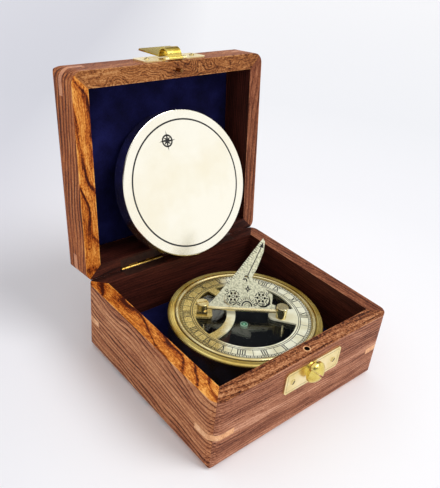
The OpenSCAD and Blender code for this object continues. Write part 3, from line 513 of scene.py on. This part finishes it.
# Card: black lacquered aluminium, nearly matt, with dust specks
def black_lacquer():
    material, tree = new_finish("black_lacquered_card")
    here = mapped(tree, Matrix.Identity(4))
    dust = add(tree, "TexNoise", {"Vector": here, "Scale": 2.0, "Detail": 3.0})
    colour = add(tree, "ValToRGB", {"Fac": dust.outputs["Fac"]}, stops=[(0.4, "#070709"), (0.8, "#121317")])
    skin = add(tree, "BsdfPrincipled", {
        "Base Color": colour.outputs[0], "Roughness": 0.8, "Specular IOR Level": 0.1})
    finish_with(tree, skin.outputs[0])
    return material


dress(["compass_card"], black_lacquer())


# Gasket: black nitrile rubber, moulded, with a faint bloom
def nitrile_rubber():
    material, tree = new_finish("nitrile_rubber")
    here = mapped(tree, Matrix.Identity(4))
    bloom = add(tree, "TexNoise", {"Vector": here, "Scale": 0.5, "Detail": 3.0})
    colour = add(tree, "ValToRGB", {"Fac": bloom.outputs["Fac"]}, stops=[(0.3, "#101012"), (0.8, "#242427")])
    skin = add(tree, "BsdfPrincipled", {"Base Color": colour.outputs[0], "Roughness": 0.75})
    finish_with(tree, skin.outputs[0])
    return material


dress(["glass_gasket"], nitrile_rubber())


# Cap: green glass jewel, polished, in a thin setting. Its colour holds painted light: a white highlight in
# the middle and a pale glint ring. It also glows a little, a painted glow in place of the light that a cut
# jewel gathers.
def green_jewel():
    cap_r = 3.4
    material, tree = new_finish("green_glass_jewel")
    here = mapped(tree, Matrix.Translation((COMPASS_X, COMPASS_Y, 0)).inverted())
    reach = off_axis(tree, here, (1, 1, 0))
    part = calc(tree, "DIVIDE", reach, cap_r)
    # Painted highlight and glint: a pale middle and a pale ring in the colour, which also glows
    colour = add(tree, "ValToRGB", {"Fac": part}, stops=[
        (0.0, "#d8f5e4"), (0.22, "#4f9a72"), (0.5, "#1d4a34"), (0.62, "#a9c9b0"), (0.8, "#3c5a48")])
    skin = add(tree, "BsdfPrincipled", {
        "Base Color": colour.outputs[0], "Roughness": 0.12, "IOR": 1.6, "Coat Weight": 0.5,
        "Emission Color": colour.outputs[0], "Emission Strength": 0.35})
    finish_with(tree, skin.outputs[0])
    return material


dress(["jewel_cap"], green_jewel())


# Glass: a clear soda-lime disc, float made, that lets the light through to the card
def clear_glass():
    material, tree = new_finish("soda_lime_glass")
    here = mapped(tree, Matrix.Identity(4))
    smear = add(tree, "TexNoise", {"Vector": here, "Scale": 0.05, "Detail": 2.0})
    rough = add(tree, "MapRange", {"Value": smear.outputs["Fac"], "To Min": 0.0, "To Max": 0.03})
    pane = add(tree, "BsdfPrincipled", {
        "Base Color": linear("#f4fbfa"), "Roughness": rough.outputs[0], "IOR": 1.52,
        "Transmission Weight": 1.0})
    clear = add(tree, "BsdfTransparent")
    ray = add(tree, "LightPath")
    both = add(tree, "MixShader", {0: ray.outputs["Is Shadow Ray"], 1: pane.outputs[0], 2: clear.outputs[0]})
    finish_with(tree, both.outputs[0])
    return material


dress(["glass"], clear_glass())


# Wax and paint in thin cuts: dull and slightly uneven, worn paler in patches 1.4 mm across
def dull_filling(name, dark, pale):
    material, tree = new_finish(name)
    here = mapped(tree, Matrix.Identity(4))
    worn = add(tree, "TexNoise", {"Vector": here, "Scale": 0.7, "Detail": 3.0})
    colour = add(tree, "ValToRGB", {"Fac": worn.outputs["Fac"]}, stops=[(0.5, dark), (0.75, pale)])
    skin = add(tree, "BsdfPrincipled", {"Base Color": colour.outputs[0], "Roughness": 0.5})
    finish_with(tree, skin.outputs[0])
    return material


# Black wax in the engravings; also the dark strokes of the screws' slots, as painted shade
WAX_AND_SLOT_SHADE = dull_filling("black_wax_and_slot_shade", "#0c0b09", "#26231b")
PRINT = dull_filling("grey_card_print", "#4a4c50", "#2a2b2e")
GROOVE = dull_filling("groove_in_plate", "#a08650", "#c4a964")


# Pieces drawn as flat shapes on a face, their corners in millimetres at the face's own place
def flat_piece(name, shapes, place, material, body, lift=ENGRAVED_LIFT):
    mesh = bpy.data.meshes.new(name)
    shell = bmesh.new()
    for shape in shapes:
        corners = [shell.verts.new(Vector((x, y, lift))) for x, y in shape]
        shell.faces.new(corners)
    shell.transform(Matrix.Scale(MM, 4) @ place)
    bmesh.ops.recalc_face_normals(shell, faces=shell.faces)
    shell.to_mesh(mesh)
    shell.free()
    mesh.materials.append(material)
    piece = bpy.data.objects.new(name, mesh)
    bpy.context.scene.collection.objects.link(piece)
    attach(piece, body)


def polar(r, degrees):
    """A point of a dial: degrees run clockwise from the far side."""
    a = math.radians(degrees)
    return (r * math.sin(a), r * math.cos(a))


def arc_band(r0, r1, start, end, step=3.0, centre=(0, 0)):
    """A curved band between two radii, as four-cornered shapes of about one step each."""
    count = max(2, round(abs(end - start) / step))
    bands = []
    for i in range(count):
        a, b = start + (end - start) * i / count, start + (end - start) * (i + 1) / count
        quad = (polar(r0, a), polar(r1, a), polar(r1, b), polar(r0, b))
        bands.append([(x + centre[0], y + centre[1]) for x, y in quad])
    return bands


def stroke(a, b, width, end_width=None):
    """A straight cut from a to b, of one width or tapered."""
    ax, ay = a
    bx, by = b
    length = math.hypot(bx - ax, by - ay)
    nx, ny = (by - ay) / length / 2, (ax - bx) / length / 2
    tail = width if end_width is None else end_width
    return [(ax + nx * width, ay + ny * width), (bx + nx * tail, by + ny * tail),
            (bx - nx * tail, by - ny * tail), (ax - nx * width, ay - ny * width)]


def ray_cut(centre, r0, r1, degrees, width, end_width):
    """A tapered cut that points away from a centre."""
    near, far = polar(r0, degrees), polar(r1, degrees)
    start = (centre[0] + near[0], centre[1] + near[1])
    return stroke(start, (centre[0] + far[0], centre[1] + far[1]), width, end_width)


def numeral(letters, height):
    """Plain Roman numeral about its middle: its strokes and its serifs."""
    thick, thin, serif, side_gap = 0.66, 0.36, 0.26, 0.3
    widths = {"I": 1.45, "V": 2.9, "X": 3.0}
    total = sum(widths[c] for c in letters)
    at, top, foot = -total / 2, height / 2, -height / 2
    cuts = []
    for letter in letters:
        w = widths[letter]
        left, right, mid = at + side_gap, at + w - side_gap, at + w / 2
        if letter == "I":
            cuts.append(stroke((mid, foot), (mid, top), thick))
        elif letter == "V":
            cuts.append(stroke((left, top), (mid, foot), thick))
            cuts.append(stroke((right, top), (mid, foot), thin))
        else:
            cuts.append(stroke((left, top), (right, foot), thick))
            cuts.append(stroke((right, top), (left, foot), thin))
        at += w
    cuts.append(stroke((-total / 2, top), (total / 2, top), serif))
    cuts.append(stroke((-total / 2, foot), (total / 2, foot), serif))
    return cuts


def set_round(shapes, r, degrees):
    """Shapes turned so that their tops point outward, at a place on the dial."""
    a = math.radians(degrees)
    turned = []
    for shape in shapes:
        turned.append([
            (x * math.cos(a) + (r + y) * math.sin(a), -x * math.sin(a) + (r + y) * math.cos(a))
            for x, y in shape
        ])
    return turned


# The hour ring: minute ticks, numerals parted by half-hour lines, and the double line inside.
# Each numeral has its angle from the far side, clockwise.
HOURS = [
    ("XII", 87.3), ("I", 120.3), ("II", 145.6), ("III", 166.7), ("IIII", 187.6), ("V", 205.0),
    ("VI", 221.0), ("VII", 239.5), ("VIII", 264.0), ("IX", 290.0), ("X", 314.0), ("V", 335.0),
    ("VI", 352.0), ("VII", 6.0), ("VIII", 22.0), ("IX", 38.0), ("XI", 62.0),
]


def engrave_dial():
    tick_in, tick_out, tick_step, bold_tick, fine_tick = 40.7, 42.2, 1.5, 0.6, 0.28
    numeral_r, numeral_h, line_in, line_out, line = 38.1, 4.0, 35.4, 40.6, 0.3
    cuts = []
    for inner, outer in ((40.5, 40.75), (42.1, 42.4), (34.1, 34.5), (35.2, 35.65)):
        cuts += arc_band(inner, outer, 0, 360)
    for i in range(round(360 / tick_step)):
        width = fine_tick if i % 2 else bold_tick
        cuts.append(stroke(polar(tick_in, i * tick_step), polar(tick_out, i * tick_step), width))
    for i, (letters, degrees) in enumerate(HOURS):
        cuts += set_round(numeral(letters, numeral_h), numeral_r, degrees)
        after = HOURS[(i + 1) % len(HOURS)][1]
        half = degrees + ((after - degrees) % 360) / 2
        cuts.append(stroke(polar(line_in, half), polar(line_out, half), line))
    flat_piece("dial_engraving", cuts, compass_place(DIAL_Z), WAX_AND_SLOT_SHADE, "base")


engrave_dial()


# The gnomon's front: a half sun with rays, two rosettes with scrolls, a lily, two crescents, and the
# style's line, arrow head and ticks
def engrave_gnomon():
    front = gnomon_place() @ Matrix.Translation((0, 0, PLATE_T / 2))
    sun = (0, 2.0)
    cuts = arc_band(2.7, 3.6, -90, 90, 8, sun) + arc_band(1.7, 1.95, -90, 90, 10, sun)
    for i in range(13):
        cuts.append(ray_cut(sun, 4.2, 6.9 if i % 2 else 5.6, -84 + 14 * i, 0.55, 0.16))
    for side in (-1, 1):
        rosette = (side * 9, 7.9)
        cuts += arc_band(0.7, 1.1, 0, 360, 40, rosette)
        cuts += arc_band(4.3, 5.1, 150 if side > 0 else 190, 170 if side > 0 else 210, 10, rosette)
        for i in range(6):
            cuts += arc_band(3.6, 4.1, 60 * i - 17, 60 * i + 17, 12, rosette)
            cuts.append(ray_cut(rosette, 3.0, 4.2, 60 * i + 30, 0.3, 0.7))
        for x, y, r in ((13.6, 4.4, 1.1), (5.6, 3.6, 0.8), (13.2, 11.4, 0.8)):
            cuts += arc_band(r - 0.22, r + 0.22, 0, 300, 30, (side * x, y))
    lily = (0.2, 13.1)
    for degrees, size in ((0, 2.3), (90, 1.7), (180, 2.0), (270, 1.7)):
        cuts.append(ray_cut(lily, size * 0.2, size * 1.1, degrees, 1.5, 0.3))
    for moon in ((-1.0, 20.4), (-1.9, 18.4)):
        cuts += arc_band(1.0, 1.6, -70, 110, 15, moon)
    cuts.append(stroke((-0.1, 22.0), (8.1, 41.4), 0.55))
    arrow_head = [(9.0, 44.2), (6.8, 41.3), (9.4, 40.4)]
    cuts.append(arrow_head)
    ticks, long_tick, short_tick = 24, 2.4, 1.4
    first, run = (-13.6, 16.6), (21.2, 27.6)
    for i in range(ticks):
        share = i / (ticks - 1)
        x, y = first[0] + share * run[0], first[1] + share * run[1]
        reach = short_tick if i % 3 else long_tick
        cuts.append(stroke((x, y), (x + reach * 0.9, y - reach * 0.44), 0.3))
    flat_piece("gnomon_engraving", cuts, front, WAX_AND_SLOT_SHADE, "gnomon")


engrave_gnomon()


# The cover's front: the blackened ring line and a small plain compass rose
def engrave_cover():
    ring_in, ring_out, ring_lift, rose_at = 41.75, 42.85, 0.03, (-9.9, 29.9)
    front = cover_place() @ Matrix.Translation((0, 0, COVER_D))
    flat_piece("cover_ring_line", arc_band(ring_in, ring_out, 0, 360), front, WAX_AND_SLOT_SHADE, "cover", ring_lift)
    rose = arc_band(3.1, 4.2, 0, 360, 10)
    for i in range(8):
        long_point = i % 2 == 0
        tip = polar(6.6 if long_point else 3.3, 45 * i)
        for turn, depth in ((-28, 1.0), (28, 1.9)):
            side_at = polar(depth, 45 * i + turn)
            rose.append([(0, 0), tip, side_at])
    rose = [[(x + rose_at[0], y + rose_at[1]) for x, y in shape] for shape in rose]
    flat_piece("cover_compass_rose", rose, front, WAX_AND_SLOT_SHADE, "cover")


engrave_cover()


# Screw slots, drawn as dark strokes of painted shade, and the catch plate's border line cut into the clasp's
# brass
def span(name, place):
    """Least and greatest corner of a node in a place's own frame, in millimetres."""
    back = place.inverted() @ Matrix.Scale(1 / MM, 4) @ nodes[name].matrix_world
    points = [back @ v.co for v in nodes[name].data.vertices]
    return [Vector([pick(p[i] for p in points) for i in range(3)]) for pick in (min, max)]


def paint_slot_shade(screws, place, body):
    slot_w, slot_share = 0.8, 0.7
    low, high = span(screws, place)
    r, level = (high.y - low.y) / 2, (high.y + low.y) / 2
    # Painted shade: a dark stroke across each screw head stands for its empty slot
    slot_shades = []
    for x, degrees in ((low.x + r, 35), (high.x - r, 40)):
        dx, dy = polar(slot_share * r, degrees)
        slot_shades.append(stroke((x - dx, level - dy), (x + dx, level + dy), slot_w))
    flat_piece(screws + "_slot_shade", slot_shades, place, WAX_AND_SLOT_SHADE, body, high.z + ENGRAVED_LIFT)


def line_catch_plate(place):
    inset, line = 1.6, 0.24
    low, high = span("catch_plate", place)
    x0, x1, y0, y1 = low.x + inset, high.x - inset, low.y + inset, high.y - inset
    border = [stroke((x0, y), (x1, y), line) for y in (y0, y1)]
    border += [stroke((x, y0), (x, y1), line) for x in (x0, x1)]
    flat_piece("catch_plate_border", border, place, GROOVE, "base", high.z + ENGRAVED_LIFT)


paint_slot_shade("catch_screws", board_place("front", False).inverted(), "base")
paint_slot_shade("clasp_screws", board_place("front", True).inverted(), "lid")
line_catch_plate(board_place("front", False).inverted())


# The card's print: a degree ring, dull grey on black
def print_card():
    outer, long_mark, short_mark, apart = 33.6, 30.8, 31.2, 5
    cuts = arc_band(outer, 33.8, 0, 360) + arc_band(30.6, long_mark, 0, 360)
    for i in range(360 // apart):
        inner = short_mark if i % 2 else long_mark
        cuts.append(stroke(polar(inner, i * apart), polar(outer, i * apart), 0.25))
    flat_piece("card_print", cuts, Matrix.Translation((COMPASS_X, COMPASS_Y, CARD_TOP)), PRINT, "card")


print_card()


# Soft pieces: one closed sheet or pad on a grid, its edges turned down
def soft_slab(name, width, depth, thick, columns, rows, top, place):
    mesh = bpy.data.meshes.new(name)
    shell = bmesh.new()
    layers = []
    for layer in (0, 1):
        grid = []
        for j in range(rows + 1):
            line = []
            for i in range(columns + 1):
                x, y = (i / columns - 0.5) * width, (j / rows - 0.5) * depth
                height = top(x, y) - (thick if layer == 0 else 0)
                line.append(shell.verts.new(Vector((x, y, height))))
            grid.append(line)
        layers.append(grid)
    for layer, grid in enumerate(layers):
        for j in range(rows):
            for i in range(columns):
                quad = [grid[j][i], grid[j][i + 1], grid[j + 1][i + 1], grid[j + 1][i]]
                shell.faces.new(quad if layer else quad[::-1])
    low, high = layers
    edge = [(i, 0) for i in range(columns)] + [(columns, j) for j in range(rows)]
    edge += [(i, rows) for i in range(columns, 0, -1)] + [(0, j) for j in range(rows, 0, -1)]
    for (i0, j0), (i1, j1) in zip(edge, edge[1:] + edge[:1]):
        shell.faces.new([low[j0][i0], low[j1][i1], high[j1][i1], high[j0][i0]])
    shell.transform(Matrix.Scale(MM, 4) @ place)
    for face in shell.faces:
        face.smooth = True
    shell.to_mesh(mesh)
    shell.free()
    mesh.materials.append(VELVET)
    piece = bpy.data.objects.new(name, mesh)
    bpy.context.scene.collection.objects.link(piece)
    return piece


def turned_down(x, y, width, depth, reach, drop):
    """How far an edge is rolled down, from the nearest side."""
    near = min(width / 2 - abs(x), depth / 2 - abs(y))
    part = max(0.0, 1 - near / reach)
    return drop * part**2


def lay_base_lining():
    pad_t, lining_t = 12.9, 0.7

    def pad_top(x, y):
        return PAD_TOP - 0.05 - turned_down(x, y, LINING_W, LINING_D, 4, 1.2)

    def lining_top(x, y):
        clear = math.hypot(x - COMPASS_X, y - COMPASS_Y) - CASE_R
        puff = 0.35 * min(max(clear / 6, 0.0), 1.0)
        ripple = 0.06 * math.sin(x * 0.31 + 1.1) * math.sin(y * 0.27 + 0.4) * (1 if clear > 0 else 0)
        return LINING_TOP - 0.02 + puff + ripple - turned_down(x, y, LINING_W, LINING_D, 3, 1.0)

    pad = soft_slab("seat_pad", LINING_W, LINING_D, pad_t, 60, 54, pad_top, Matrix.Identity(4))
    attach(pad, "base")
    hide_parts("base_pad")
    lining = soft_slab("base_lining", LINING_W, LINING_D, lining_t, 122, 110, lining_top,
                       Matrix.Identity(4))
    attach(lining, "base")
    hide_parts("base_velvet")


def hang_lid_lining():
    lining_t = 0.55

    def lining_face(x, y):
        sag = 0.12 * math.sin(x * 0.09 + 0.5) * math.sin(y * 0.12 + 1.3)
        return LINING_T - 0.15 + sag * 0.9 - turned_down(x, y, LINING_W, LINING_D, 3, 0.4)

    on_panel = Matrix.Translation((0, 0, LID_LINING_Z + LINING_T))
    face_in = shut_to_open() @ on_panel @ Matrix.Rotation(math.pi, 4, "X")
    lining = soft_slab("lid_lining", LINING_W, LINING_D, lining_t, 122, 110, lining_face, face_in)
    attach(lining, "lid")
    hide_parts("lid_velvet")


lay_base_lining()
hang_lid_lining()


# Studio: white paper with painted shade, soft daylight and one broad key. The paper greys in a band towards
# the far left, a painted shadow of the lid, and greys away from the box, a painted fall-off of the light.
# What mirrors see of the room is white, with one dark band of ceiling.
def white_paper_painted_shade():
    material, tree = new_finish("white_paper_with_painted_shade")
    toward_left = math.radians(-140)
    where = add(tree, "TexCoord").outputs["Object"]
    fade = add(tree, "Mapping", {"Vector": where, "Rotation": (0, 0, toward_left), "Scale": (0.5, 0.5, 0.5)})
    side = add(tree, "SeparateXYZ", {0: fade.outputs[0]})
    # Painted shadow: a grey band towards the far left
    painted_shadow_band = add(tree, "ValToRGB", {"Fac": side.outputs[0]},
                    stops=[(0.02, "#ffffff"), (0.13, "#e0e0e5"), (0.5, "#ebebf0"), (1.0, "#ffffff")])
    reach = add(tree, "VectorMath", {0: fade.outputs[0]}, operation="LENGTH")
    # Painted shade: greyer away from the box, as the light falls off
    far = add(tree, "ValToRGB", {"Fac": reach.outputs["Value"]},
              stops=[(0.07, "#fafafd"), (0.15, "#f2f2f6"), (0.3, "#ecedf1"), (1.0, "#f2f2f5")])
    both = add(tree, "Mix", {"Factor": 1.0, 6: far.outputs[0], 7: painted_shadow_band.outputs[0]},
               data_type="RGBA", blend_type="MULTIPLY")
    fibre = add(tree, "TexNoise", {"Vector": where, "Scale": 900.0, "Detail": 2.0})
    bump = add(tree, "Bump", {"Height": fibre.outputs["Fac"], "Strength": 0.05, "Distance": 0.1 * MM})
    skin = add(tree, "BsdfPrincipled", {
        "Base Color": both.outputs[2], "Roughness": 0.9, "Specular IOR Level": 0.1,
        "Normal": bump.outputs[0]})
    finish_with(tree, skin.outputs[0])
    return material


def lay_paper():
    width, under_box = 9.0, -0.0002
    bpy.ops.mesh.primitive_grid_add(
        x_subdivisions=8, y_subdivisions=8, size=width, location=(0, 0, under_box))
    paper = bpy.context.object
    paper.name = "paper_floor"
    paper.data.materials.append(white_paper_painted_shade())


def light_studio():
    world = bpy.data.worlds.new("studio")
    bpy.context.scene.world = world
    world.use_nodes = True
    tree = world.node_tree
    tree.nodes.clear()
    ray = add(tree, "LightPath")
    seen = calc(tree, "MAXIMUM", ray.outputs["Is Camera Ray"], ray.outputs["Is Glossy Ray"])
    seen = calc(tree, "MAXIMUM", seen, ray.outputs["Is Transmission Ray"])
    soft = add(tree, "Background", {"Color": linear("#ffffff"), "Strength": 0.74})
    facing = add(tree, "TexCoord").outputs["Generated"]
    rise = add(tree, "SeparateXYZ", {0: facing})
    room = add(tree, "ValToRGB", {"Fac": rise.outputs[2]}, stops=[
        (0.0, "#ffffff"), (0.42, "#ffffff"), (0.52, "#2a2b30"), (0.7, "#2a2b30"), (0.8, "#ffffff")])
    around = blend(tree, ray.outputs["Is Glossy Ray"], linear("#f4f4f8"), room.outputs[0])
    white = add(tree, "Background", {"Color": around, "Strength": 1.0})
    both = add(tree, "MixShader", {0: seen, 1: soft.outputs[0], 2: white.outputs[0]})
    add(tree, "OutputWorld", {"Surface": both.outputs[0]})
    sun_strength, sun_width = 1.3, 32
    key = bpy.data.lights.new("key", "SUN")
    key.energy = sun_strength
    key.angle = math.radians(sun_width)
    lamp = bpy.data.objects.new("key", key)
    from_side = Vector((0.42, -0.62, 0.95))
    lamp.rotation_euler = from_side.to_track_quat("Z", "Y").to_euler()
    bpy.context.scene.collection.objects.link(lamp)


lay_paper()
light_studio()
bpy.context.scene.view_settings.view_transform = "Standard"
